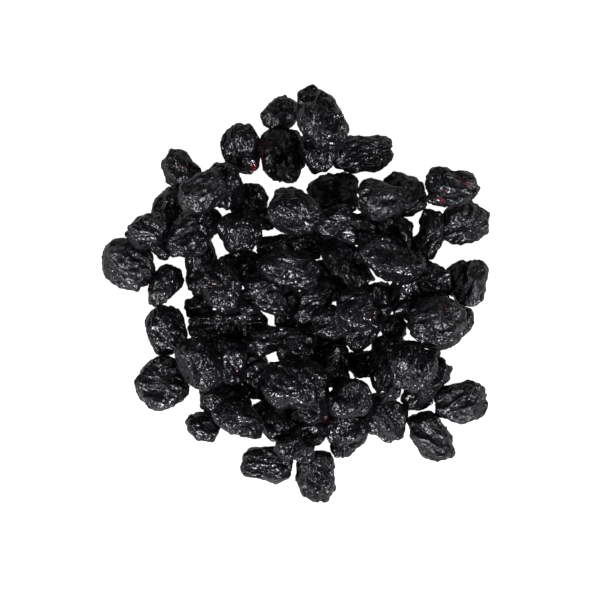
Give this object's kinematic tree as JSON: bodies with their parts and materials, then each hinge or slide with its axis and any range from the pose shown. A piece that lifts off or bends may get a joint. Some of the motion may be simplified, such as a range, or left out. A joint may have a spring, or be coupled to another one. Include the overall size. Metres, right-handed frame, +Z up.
{
  "type": "pile of dried blueberries",
  "caption": "Loose pile of wrinkled dried blueberries, some stuck together in twos and threes, lying on a surface.",
  "frame": {"origin": "middle of the pile's footprint, on the surface it lies on", "axes": "+Z up from the surface, +Y towards the top of the picture, +X towards its right"},
  "size_m": [0.0778, 0.083, 0.0175],
  "materials": {
    "skin": "wrinkled blue-black skin with a soft sheen"
  },
  "bodies": {
    "root": {"north_1": "skin", "north_2": "skin", "north_3": "skin", "north_4": "skin", "west_1": "skin", "west_2": "skin", "west_4": "skin", "west_3": "skin", "west_5": "skin", "west_6": "skin", "west_7": "skin", "west_8": "skin", "west_9": "skin", "west_10": "skin", "west_11": "skin", "west_12": "skin", "west_13": "skin", "west_14": "skin", "west_15": "skin", "west_16": "skin", "west_17": "skin", "centre_1": "skin", "centre_2": "skin", "centre_3": "skin", "centre_4": "skin", "centre_5": "skin", "centre_6": "skin", "centre_7": "skin", "centre_8": "skin", "centre_9": "skin", "centre_10": "skin", "centre_11": "skin", "centre_18": "skin", "centre_12": "skin", "centre_13": "skin", "centre_14": "skin", "centre_15": "skin", "centre_16": "skin", "centre_17": "skin", "east_1": "skin", "east_2": "skin", "east_3": "skin", "east_4": "skin", "east_5": "skin", "east_6": "skin", "east_7": "skin", "south_1": "skin", "south_2": "skin", "south_3": "skin", "south_4": "skin", "south_5": "skin", "south_6": "skin", "south_7": "skin", "south_8": "skin", "south_9": "skin", "south_10": "skin", "south_11": "skin", "south_12": "skin", "south_13": "skin", "south_14": "skin"}
  },
  "joints": []
}
